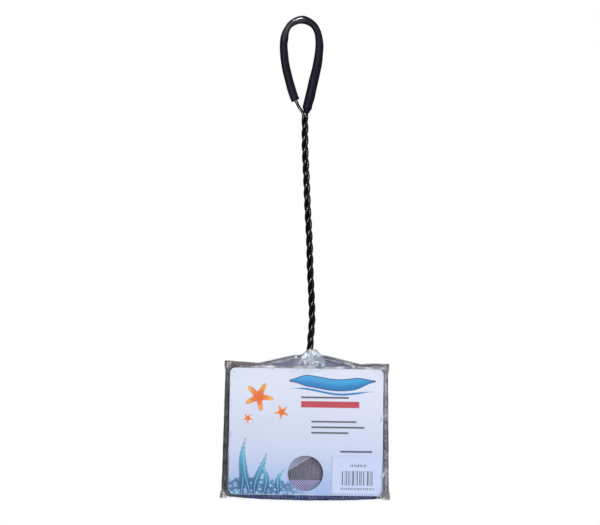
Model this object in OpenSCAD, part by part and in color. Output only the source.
// Aquarium fish net in its shrink pack: a twisted wire handle with a sleeved hanging loop,
// a square wire head with a hemmed net bag folded flat in it, and a card under clear film.
// Millimetres. The net hangs upright: +Z is up, +X is right and the card faces -Y.
// The origin is the hang point, where a hook touches the inside of the loop.

/* [Wire] */

// Diameter of the coated wire
wire_d = 2.45; // [2:0.05:3]
// Clear gap between neighbouring strands of the twist
strand_gap = 0.02; // [0.01:0.01:0.06]

/* [Hanging loop] */

// Height of the loop along its centre line, from its top to the first twist
loop_l = 72.6; // [55:0.1:90]
// Width of the loop between the centre lines of its legs
loop_w = 27; // [24:0.5:34]
// Wall of the grip sleeve at the top of the loop
sleeve_wall = 1.3; // [1.1:0.05:1.6]
// How much thicker the sleeve wall is at its lower right end
sleeve_swell = 0.7; // [0.2:0.05:0.8]
// Gap between the wire and the bore of the sleeve
sleeve_gap = 0.12; // [0.05:0.01:0.2]

/* [Handle] */

// Length of the twisted part
handle_l = 176; // [140:1:220]
// Crossings of the three strands along the handle, each a third of a turn
crossings = 19; // [16:3:22]
// Length over which the twist starts and ends
twist_ease = 4; // [2:0.5:6]
// Sideways lean of the handle from its top to its root
handle_lean = 6; // [0:0.1:9]
// Sideways bow of the handle
handle_bow = 2.2; // [0:0.1:3]
// Sideways set of the handle's top from the hang point
tip_set = 3.4; // [0:0.1:5]

/* [Head] */

// Width of the wire frame between centre lines at its top corners
frame_top_w = 119.2; // [110:0.1:130]
// How much wider the wire frame is at its bottom corners than at its top corners
frame_flare = 3.8; // [0:0.1:8]
// Height of the wire frame between centre lines, from the bottom run to the top corners
frame_h = 98.7; // [85:0.1:115]
// Drop of the shoulders below the root of the handle
root_drop = 13.2; // [11:0.1:15]
// Rise of the top run from each shoulder out to the corner
corner_rise = 1.2; // [0:0.1:2]
// Depth of the short straight run below the root before the wire turns outwards
root_run = 4.2; // [3:0.1:5]
// Distance from the handle to each shoulder, as a share of the frame's width at its top corners
shoulder_share = 0.327; // [0.28:0.005:0.36]
// Set of the head's middle to the left of the root
head_set = 2; // [0:0.1:4]
// Bend radius at the four corners
corner_r = 6; // [4:0.5:8]
// Bend radius at the root
root_bend_r = 3; // [2.5:0.1:3.5]
// Bend radius at the shoulders
shoulder_bend_r = 30; // [15:1:40]

/* [Net] */

// Cloth of the hem where it goes round the wire
hem_cloth = 0.6; // [0.4:0.05:0.8]
// Gap between the wire and the hem
hem_gap = 0.1; // [0.05:0.01:0.15]
// Length of wire left bare on each side of the handle
hem_open = 8; // [7:0.5:12]
// Length of each side hem along the top and bottom runs
hem_tail = 2; // [1:0.5:5]
// Gap between two stretches of hem that meet
hem_split = 0.2; // [0.1:0.05:0.3]
// Width of the sewn lip inside the hem
lip_w = 3.4; // [2:0.1:5]
// Width of the sewn lip along the bottom run
lip_bottom_w = 9; // [6:0.5:14]
// Thickness of the sewn lip
lip_t = 0.8; // [0.6:0.05:1]
// Thickness of one folded flap of the bag
fold_t = 0.9; // [0.5:0.05:1]
// Thickness of the flat back of the bag
panel_t = 1.1; // [0.6:0.05:1.2]
// Gap between the edge of the bag and the hem
bag_gap = 0.1; // [0.05:0.01:0.3]

/* [Card] */

// Distance from the middle of the wire at the bottom corners in to the card's side edges
card_side = 3.5; // [2:0.1:8]
// Distance from the middle of the wire at the top corners down to the card's top edge
card_head = 2.5; // [1:0.1:8]
// Thickness of the card
card_t = 0.4; // [0.3:0.05:0.5]
// Radius of the card's corners
card_corner_r = 4; // [2:0.5:8]
// Height of the card's lower edge above the middle of the bottom run
card_lift = 0.6; // [0:0.1:1]
// Diameter of the round window
window_d = 26.6; // [20:0.1:34]
// Height of the window's middle above the card's lower edge
window_z = 16.4; // [14:0.1:22]
// Clearance on each face of the card
card_gap = 0.3; // [0.3:0.05:0.5]

/* [Label] */

// Width of the label patch
label_w = 38; // [20:0.5:44]
// Height of the label patch
label_h = 27; // [15:0.5:30]
// Thickness of the label patch
label_t = 0.12; // [0.1:0.01:0.15]
// Distance from the label to the card's right and lower edges
label_edge = 1.2; // [0.6:0.1:3]

/* [Film] */

// Thickness of the film
film_t = 0.25; // [0.2:0.05:0.35]
// Clearance between the film and what it wraps
film_gap = 0.3; // [0.3:0.05:0.5]
// Height of the film above the shoulders of the hem
film_rise = 0.4; // [0.2:0.1:1]
// Width of the gather at its foot
gather_w = 24; // [20:0.5:30]
// Gap between the gather and the film beside it
gather_gap = 0.1; // [0.05:0.05:0.2]
// Width of the gather at its lip
gather_lip_w = 10; // [8:0.5:14]
// Height of the gather
gather_h = 12.6; // [10:0.1:14]
// Height of the gather's lip above the root of the handle
gather_rise = 0.4; // [0.2:0.1:3]
// Depth of the pleats in the gather
pleat_depth = 1.1; // [0.4:0.1:1.4]
// Pleats across the gather
pleats = 7; // [5:1:9]
// Width of the trimmed seal under the pack
seal_w = 1.2; // [0.6:0.1:2]
// Reach of the small ears at the corners of the pack
ear = 2.4; // [1.5:0.1:3]

/* [Hidden] */

wire_r = wire_d / 2;
three = 3;
third = 360 / three;
// Distance from the handle's axis to each strand, so that three leaning strands just clear.
strand_r = (wire_r + strand_gap) * 1.172;
strand_reach = strand_r + wire_r;

sleeve_bore_r = wire_r + sleeve_gap;
sleeve_top_r = sleeve_bore_r + sleeve_wall;
loop_top_z = sleeve_top_r;
tip_z = loop_top_z - loop_l;
// Half of the loop from its top to the twist: share of the way, of the half width and of the height.
// The first row lies on the other half, so that the two meet in a round top.
leg_shares = [
    [-0.11, -0.58, 0.044], [0, 0, 0], [0.11, 0.58, 0.044], [0.2, 0.87, 0.12], [0.285, 0.98, 0.211], [0.36, 1, 0.292],
    [0.51, 0.9, 0.46], [0.66, 0.69, 0.628], [0.8, 0.45, 0.796], [0.9, 0.25, 0.895], [1, 0.1, 1]
];
leg_blend_share = 0.9;
leg_drift_power = 6;
sleeve_left_share = 0.838;
sleeve_right_share = 0.963;
sleeve_taper_share = 0.05;
loop_steps = 52;
tube_sides = 8;
sleeve_sides = 12;
hem_sides = 12;
bend_step = 16;

// Sideways bow of the handle: share of the way down and of the bow.
bow_shares = [
    [0, 0], [0.13, -0.2], [0.27, 0.05], [0.4, 0.27], [0.53, 0.62],
    [0.67, 0.72], [0.8, 1], [0.88, 0.96], [0.94, 0.5], [1, 0]
];
twist_total = crossings * third;
twist_rate = twist_total / (handle_l - twist_ease);
handle_steps = 80;
// Angles of the strands at the top: the loop's left leg, its right leg and the strand that ends there.
strand_angles = [210, 330, 90];

root_x = tip_set + handle_lean;
root_z = tip_z - handle_l;
head_x = root_x - head_set;
// The frame's plane is the one in which two of the strands reach the root side by side.
frame_y = -strand_r * sin(30);
frame_bottom_w = frame_top_w + frame_flare;
shoulder_x = frame_top_w * shoulder_share;
root_half = strand_r * cos(30);
shoulder_z = root_z - root_drop;
corner_z = shoulder_z + corner_rise;
bottom_z = corner_z - frame_h;
top_half = frame_top_w / 2;
bottom_half = frame_bottom_w / 2;
side_lean = atan2(bottom_half - top_half, frame_h);
roof_angle = atan2(root_drop - root_run, shoulder_x - root_half);

hem_r = wire_r + hem_gap + hem_cloth;
hem_bore_r = wire_r + hem_gap;
hem_front = frame_y - hem_r;
lip_front = frame_y - lip_t / 2;
lip_back = frame_y + lip_t / 2;
flap_right_back = lip_back + fold_t;
flap_left_back = flap_right_back + fold_t;
bag_back = flap_left_back + panel_t;
bag_inset = hem_r + bag_gap;
// Diagonal folds of the bag: shares of the frame's bottom width and of its height.
fold_foot_share = 0.29;
fold_side_share = 0.86;
fold_left_foot_share = 0.62;
fold_left_side_share = 0.78;

// The card slides up in front of the strands, so its back lies clear of them.
card_back = min(hem_front, -strand_reach) - card_gap;
card_front = card_back - card_t;
card_w = frame_bottom_w - 2 * card_side;
card_h = frame_h - card_lift - card_head;
card_bottom = bottom_z + card_lift;
card_left = head_x - card_w / 2;
card_right = head_x + card_w / 2;
window_r = window_d / 2;

film_inner_front = card_front - label_t - card_gap;
film_front_y = film_inner_front - film_t;
film_inner_back = max(bag_back, strand_reach, frame_y + hem_r) + film_gap;
film_back_y = film_inner_back + film_t;
film_inner_half = bottom_half + hem_r + film_gap;
film_half = film_inner_half + film_t;
film_floor = bottom_z - hem_r - film_gap;
film_shoulder = shoulder_z + hem_r + film_rise;
film_corner = corner_z + hem_r + film_rise;
gather_top = root_z + gather_rise;
gather_foot = gather_top - gather_h;
pleat_steps = 2;
gather_rows = 5;

function lerp(a, b, t) = a + (b - a) * t;
function smooth(t) = let (c = max(0, min(1, t))) c * c * (3 - 2 * c);
function unit(v) = v / norm(v);

// Smooth curve through the rows of a table whose first column rises: the other columns at t.
function slope(tab, i) = let (a = max(i - 1, 0), b = min(i + 1, len(tab) - 1))
    (tab[b] - tab[a]) / (tab[b][0] - tab[a][0]);
function row_of(tab, t, i = 0) = i >= len(tab) - 2 || t < tab[i + 1][0] ? i : row_of(tab, t, i + 1);
function along(tab, t) = let (
        i = row_of(tab, t),
        d = tab[i + 1][0] - tab[i][0],
        u = (t - tab[i][0]) / d,
        a = 2 * u * u * u - 3 * u * u + 1,
        b = u * u * u - 2 * u * u + u,
        c = 3 * u * u - 2 * u * u * u,
        e = u * u * u - u * u
    ) a * tab[i] + b * d * slope(tab, i) + c * tab[i + 1] + e * d * slope(tab, i + 1);

// The handle's axis at a depth below the tip, and the turn that the strands have made there.
function axis_at(d) = let (s = d / handle_l, b = s <= 0 || s >= 1 ? 0 : along(bow_shares, s)[1])
    [tip_set + handle_lean * s + handle_bow * b, 0, tip_z - d];
function turn_at(d) = twist_rate * (
    d <= 0 ? 0
    : d < twist_ease ? d * d / (2 * twist_ease)
    : d > handle_l ? handle_l - twist_ease
    : d > handle_l - twist_ease ? handle_l - twist_ease - (handle_l - d) * (handle_l - d) / (2 * twist_ease)
    : d - twist_ease / 2);
function strand_at(k, d) = let (a = strand_angles[k] - turn_at(d))
    axis_at(d) + strand_r * [cos(a), sin(a), 0];

// The loop's centre line, from u = -1 at its left foot over the top to u = 1 at its right foot.
function loop_at(u) = let (
        side = u < 0 ? -1 : 1,
        row = along(leg_shares, abs(u)),
        drop = row[2],
        drift = tip_set * pow(max(drop, 0), leg_drift_power),
        w = smooth((drop - leg_blend_share) / (1 - leg_blend_share)),
        free = [side * row[1] * loop_w / 2 + drift, 0, loop_top_z - drop * loop_l],
        foot = strand_at(u < 0 ? 0 : 1, 0)
    ) [lerp(free[0], foot[0], w), lerp(0, foot[1], w), free[2]];

// One ring of a swept tube and the tube itself, with an optional bore.
function heading(p, i) = unit(p[min(i + 1, len(p) - 1)] - p[max(i - 1, 0)]);
function ring(c, t, r, n) = let (a = unit([0, 1, 0] - t[1] * t), b = cross(t, a))
    [for (k = [0:n - 1]) c + r * (cos(360 * k / n) * a + sin(360 * k / n) * b)];
function skin(first, rings, n, flip) = [
    for (i = [0:rings - 2], k = [0:n - 1])
        let (
            a = first + i * n + k,
            b = first + i * n + (k + 1) % n,
            quad = [a, b, b + n, a + n]
        )
        each flip
            ? [[quad[0], quad[2], quad[1]], [quad[0], quad[3], quad[2]]]
            : [[quad[0], quad[1], quad[2]], [quad[0], quad[2], quad[3]]]
];
function cap(first, n, flip) = [
    for (k = [1:n - 2]) flip ? [first, first + k, first + k + 1] : [first, first + k + 1, first + k]
];
function rim(outer, inner, n, flip) = [
    for (k = [0:n - 1])
        let (m = (k + 1) % n)
        each flip
            ? [[outer + k, outer + m, inner + m], [outer + k, inner + m, inner + k]]
            : [[outer + k, inner + m, outer + m], [outer + k, inner + k, inner + m]]
];

module rod(p, r, n) {
    last = (len(p) - 1) * n;
    polyhedron(
        [for (i = [0:len(p) - 1]) each ring(p[i], heading(p, i), r, n)],
        concat(skin(0, len(p), n, true), cap(0, n, true), cap(last, n, false)),
        convexity = 10
    );
}

module hose(p, radii, bore, n) {
    size = len(p) * n;
    last = size - n;
    polyhedron(
        concat(
            [for (i = [0:len(p) - 1]) each ring(p[i], heading(p, i), radii[i], n)],
            [for (i = [0:len(p) - 1]) each ring(p[i], heading(p, i), bore, n)]
        ),
        concat(
            skin(0, len(p), n, true),
            skin(size, len(p), n, false),
            rim(0, size, n, true),
            rim(last, size + last, n, false)
        ),
        convexity = 10
    );
}

// Points along the corners of a path in the frame's plane, with each corner rounded to its radius.
function turn_of(p, i) = let (a = unit(p[i] - p[i - 1]), b = unit(p[i + 1] - p[i]))
    atan2(a[0] * b[1] - a[1] * b[0], a * b);
function bend(p, radii, i) = let (
        t = turn_of(p, i),
        d = unit(p[i] - p[i - 1]),
        start = p[i] - d * radii[i] * tan(abs(t) / 2),
        middle = start + sign(t) * radii[i] * [-d[1], d[0]],
        steps = ceil(abs(t) / bend_step)
    ) [
        for (k = [0:steps])
            let (a = t * k / steps, v = start - middle)
            middle + [v[0] * cos(a) - v[1] * sin(a), v[0] * sin(a) + v[1] * cos(a)]
    ];
function bent(p, radii) = [
    for (v = concat([p[0]], [for (i = [1:1:len(p) - 2]) each bend(p, radii, i)], [p[len(p) - 1]]))
        [v[0], frame_y, v[1]]
];

// Corner points of the frame's centre line, in the frame's plane.
foot_left = [root_x - root_half, root_z];
foot_right = [root_x + root_half, root_z];
turn_left = [root_x - root_half, root_z - root_run];
turn_right = [root_x + root_half, root_z - root_run];
shoulder_left = [root_x - shoulder_x, shoulder_z];
shoulder_right = [root_x + shoulder_x, shoulder_z];
top_left = [head_x - top_half, corner_z];
top_right = [head_x + top_half, corner_z];
bottom_left = [head_x - bottom_half, bottom_z];
bottom_right = [head_x + bottom_half, bottom_z];

// Where the side hems end and the top and bottom hems start, as steps from the corners.
function end_of(corner, next, other) =
    (corner_r * tan(abs(turn_of([other, corner, next], 1)) / 2) + hem_tail) * unit(next - corner);
top_left_end = end_of(top_left, shoulder_left, bottom_left);
top_right_end = end_of(top_right, shoulder_right, bottom_right);
bottom_left_end = end_of(bottom_left, bottom_right, top_left);
bottom_right_end = end_of(bottom_right, bottom_left, top_right);
roof = [cos(roof_angle), sin(roof_angle)];

// A closed outline whose corners are rounded where their radius isn't 0.
function eased(p, radii) = let (n = len(p)) [
    for (i = [0:n - 1])
        let (three_points = [p[(i + n - 1) % n], p[i], p[(i + 1) % n]])
        each radii[i] == 0 ? [p[i]] : bend(three_points, [0, radii[i], 0], 1)
];

// Outline of the frame's opening, drawn in from the centre line.
function house(inset, floor_inset) = let (r = corner_r - bag_inset) eased(
    [
        [head_x - bottom_half + inset, bottom_z + floor_inset],
        [head_x + bottom_half - inset, bottom_z + floor_inset],
        [head_x + top_half - inset, corner_z - inset],
        [root_x + shoulder_x, shoulder_z - inset],
        [root_x + root_half, root_z - root_run - inset],
        [root_x - root_half, root_z - root_run - inset],
        [root_x - shoulder_x, shoulder_z - inset],
        [head_x - top_half + inset, corner_z - inset]
    ],
    [r, r, r, 0, 0, 0, 0, r]
);

// A flat sheet drawn in X and Z, from its front face to its back face.
module sheet(front, back) {
    translate([0, back, 0]) rotate([90, 0, 0]) linear_extrude(back - front) children();
}

module loop_wire() {
    color("#151519")
        rod([for (i = [0:loop_steps]) loop_at(2 * i / loop_steps - 1)], wire_r, tube_sides);
}

module grip_sleeve() {
    span = sleeve_left_share + sleeve_right_share;
    us = [for (i = [0:loop_steps]) span * i / loop_steps - sleeve_left_share];
    radii = [
        for (u = us)
            let (
                full = sleeve_top_r + sleeve_swell * (u < 0 ? abs(u) / 2 : u),
                left = (sleeve_right_share - u) / sleeve_taper_share
            )
            lerp(sleeve_bore_r + sleeve_wall / 2, full, smooth(left))
    ];
    color("#23242b") hose([for (u = us) loop_at(u)], radii, sleeve_bore_r, sleeve_sides);
}

module strand(k) {
    rod([for (i = [0:handle_steps]) strand_at(k, handle_l * i / handle_steps)], wire_r, tube_sides);
}

module strand_one() {
    color("#16161a") strand(0);
}

module strand_two() {
    color("#1c1c20") strand(1);
}

module strand_three() {
    color("#101013") strand(2);
}

module frame_wire() {
    color("#1a1a1e")
        rod(bent(
            [
                foot_left, turn_left, shoulder_left, top_left, bottom_left,
                bottom_right, top_right, shoulder_right, turn_right, foot_right
            ],
            [
                0, root_bend_r, shoulder_bend_r, corner_r, corner_r,
                corner_r, corner_r, shoulder_bend_r, root_bend_r, 0
            ]
        ), wire_r, tube_sides);
}

module hem(p, radii) {
    path = bent(p, radii);
    hose(path, [for (v = path) hem_r], hem_bore_r, hem_sides);
}

// A stretch of hem starts a split away from where its neighbour ends.
function past(step) = step + hem_split * unit(step);

module hem_top_left() {
    color("#6d6a78")
        hem(
            [turn_left + hem_open * [-roof[0], -roof[1]], shoulder_left, top_left + past(top_left_end)],
            [0, shoulder_bend_r, 0]
        );
}

module hem_top_right() {
    color("#8a8794")
        hem(
            [top_right + past(top_right_end), shoulder_right, turn_right + hem_open * [roof[0], -roof[1]]],
            [0, shoulder_bend_r, 0]
        );
}

module hem_left() {
    color("#5f5d6a")
        hem(
            [top_left + top_left_end, top_left, bottom_left, bottom_left + bottom_left_end],
            [0, corner_r, corner_r, 0]
        );
}

module hem_right() {
    color("#9a97a3")
        hem(
            [bottom_right + bottom_right_end, bottom_right, top_right, top_right + top_right_end],
            [0, corner_r, corner_r, 0]
        );
}

module hem_bottom() {
    color("#4a4759")
        hem([bottom_left + past(bottom_left_end), bottom_right + past(bottom_right_end)], [0, 0]);
}

module hem_lip() {
    color("#b9b6c4")
        sheet(lip_front, lip_back)
            difference() {
                polygon(house(bag_inset, bag_inset));
                polygon(house(bag_inset + lip_w, bag_inset + lip_bottom_w));
            }
}

module bag_panel() {
    color("#7b7888") sheet(flap_left_back, bag_back) polygon(house(bag_inset, bag_inset));
}

module bag_fold_right() {
    low = bottom_z + bag_inset;
    color("#565366")
        sheet(lip_back, flap_right_back)
            polygon(eased(
                [
                    [head_x + bottom_half - frame_bottom_w * (1 - fold_foot_share), low],
                    [head_x + bottom_half - bag_inset, low],
                    [head_x + top_half - bag_inset, bottom_z + frame_h * fold_side_share]
                ],
                [0, corner_r - bag_inset, 0]
            ));
}

module bag_fold_left() {
    low = bottom_z + bag_inset;
    color("#67647a")
        sheet(flap_right_back, flap_left_back)
            polygon(eased(
                [
                    [head_x - bottom_half + bag_inset, low],
                    [head_x - bottom_half + frame_bottom_w * fold_left_foot_share, low],
                    [head_x - top_half + bag_inset, bottom_z + frame_h * fold_left_side_share]
                ],
                [corner_r - bag_inset, 0, 0]
            ));
}

// A rectangle with round corners, from its lower left corner.
module rounded(w, h, r) {
    translate([r, 0]) square([w - 2 * r, h]);
    translate([0, r]) square([w, h - 2 * r]);
    for (x = [r, w - r], y = [r, h - r]) translate([x, y]) circle(r = r, $fn = 48);
}

module insert_card() {
    color("#e6e6f2")
        sheet(card_front, card_back)
            difference() {
                translate([card_left, card_bottom]) rounded(card_w, card_h, card_corner_r);
                translate([head_x, card_bottom + window_z]) circle(r = window_r, $fn = 96);
            }
}

module label_patch() {
    color("#f7f7fb")
        sheet(card_front - label_t, card_front)
            translate([card_right - label_edge - label_w, card_bottom + label_edge])
                square([label_w, label_h]);
}

// Half width of the gather at a share of its height.
function gather_half(v) = lerp(gather_w, gather_lip_w, v * v) / 2;

// Outline of the film's two faces: straight sides, the roof of the head and a gap for the gather.
roof_share = (film_shoulder + (shoulder_x - gather_w / 2) * tan(roof_angle) - gather_foot) / gather_h;
gap_side = [
    for (k = [0:gather_rows])
        let (v = roof_share * k / gather_rows, half = gather_half(v) + gather_gap)
        [half, k < gather_rows
            ? gather_foot + v * gather_h
            : film_shoulder + (shoulder_x - half) * tan(roof_angle)]
];
module film_face() {
    polygon(concat(
        [
            [head_x - film_inner_half, film_floor],
            [head_x + film_inner_half, film_floor],
            [head_x + film_inner_half, film_corner],
            [root_x + shoulder_x, film_shoulder]
        ],
        [for (k = [gather_rows:-1:0]) [root_x + gap_side[k][0], gap_side[k][1]]],
        [for (g = gap_side) [root_x - g[0], g[1]]],
        [
            [root_x - shoulder_x, film_shoulder],
            [head_x - film_inner_half, film_corner]
        ]
    ));
}

module film_front() {
    color("#dfe9f5", 0.5) sheet(film_front_y, film_inner_front) film_face();
}

module film_back() {
    color("#dfe9f5", 0.5) sheet(film_inner_back, film_back_y) film_face();
}

// One side fold of the film with the ears that shrinking leaves at its ends; side is -1 or 1.
module film_side(side) {
    wall = head_x + side * (film_inner_half + film_t / 2);
    h = film_corner - film_floor + film_t;
    translate([wall - film_t / 2, film_front_y, film_floor - film_t])
        cube([film_t, film_back_y - film_front_y, h]);
    edge = head_x + side * film_half;
    sheet(frame_y - film_t / 2, frame_y + film_t / 2) {
        polygon([
            [wall, film_floor - film_t],
            [edge + side * ear, film_floor - film_t + ear / 3],
            [wall, film_floor - film_t + 2 * ear]
        ]);
        polygon([
            [wall, film_corner],
            [edge + side * ear / 2, film_corner - ear / 3],
            [wall, film_corner - 2 * ear]
        ]);
    }
}

module film_side_left() {
    color("#cfdcea", 0.6) film_side(-1);
}

module film_side_right() {
    color("#cfdcea", 0.6) film_side(1);
}

// The floor of the pack and the trimmed seal under it.
module film_bottom() {
    color("#cfdcea", 0.6) {
        translate([head_x - film_inner_half, film_front_y, film_floor - film_t])
            cube([2 * film_inner_half, film_back_y - film_front_y, film_t]);
        translate([head_x - film_inner_half, frame_y - film_t / 2, film_floor - film_t - seal_w])
            cube([2 * film_inner_half, film_t, seal_w]);
    }
}

// A pleated fan of film that narrows towards the handle; side is -1 in front and 1 behind.
module film_gather(side, inner) {
    cols = 2 * pleats * pleat_steps;
    n = cols + 1;
    size = n * (gather_rows + 1);
    points = [
        for (layer = [0, 1], j = [0:gather_rows], i = [0:cols])
            let (
                v = j / gather_rows,
                u = 2 * i / cols - 1,
                half = gather_half(v),
                swell = pleat_depth * smooth(v * 2) * (1 - u * u),
                fold = swell * (1 + cos(360 * pleats * i / cols)) / 2,
                out = inner + side * (layer * film_t + fold)
            )
            [root_x + u * half, out, lerp(gather_foot, gather_top, v)]
    ];
    faces = concat(
        [
            for (j = [0:gather_rows - 1], i = [0:cols - 1])
                let (a = j * n + i)
                each [[a, a + 1, a + n + 1], [a, a + n + 1, a + n]]
        ],
        [
            for (j = [0:gather_rows - 1], i = [0:cols - 1])
                let (a = size + j * n + i)
                each [[a, a + n + 1, a + 1], [a, a + n, a + n + 1]]
        ],
        [for (i = [0:cols - 1]) each [[i, size + i, size + i + 1], [i, size + i + 1, i + 1]]],
        [
            for (i = [0:cols - 1])
                let (a = gather_rows * n + i)
                each [[a, a + 1, size + a + 1], [a, size + a + 1, size + a]]
        ],
        [
            for (j = [0:gather_rows - 1])
                let (a = j * n)
                each [[a, a + n, size + a + n], [a, size + a + n, size + a]]
        ],
        [
            for (j = [0:gather_rows - 1])
                let (a = j * n + cols)
                each [[a, size + a, size + a + n], [a, size + a + n, a + n]]
        ]
    );
    polyhedron(points, side < 0 ? [for (f = faces) [f[0], f[2], f[1]]] : faces, convexity = 8);
}

module film_gather_front() {
    color("#eef4fb", 0.7) film_gather(-1, film_inner_front);
}

module film_gather_back() {
    color("#eef4fb", 0.7) film_gather(1, film_inner_back);
}

loop_wire();
grip_sleeve();
strand_one();
strand_two();
strand_three();
frame_wire();
hem_top_left();
hem_top_right();
hem_left();
hem_right();
hem_bottom();
hem_lip();
bag_panel();
bag_fold_left();
bag_fold_right();
insert_card();
label_patch();
film_front();
film_back();
film_side_left();
film_side_right();
film_bottom();
film_gather_front();
film_gather_back();
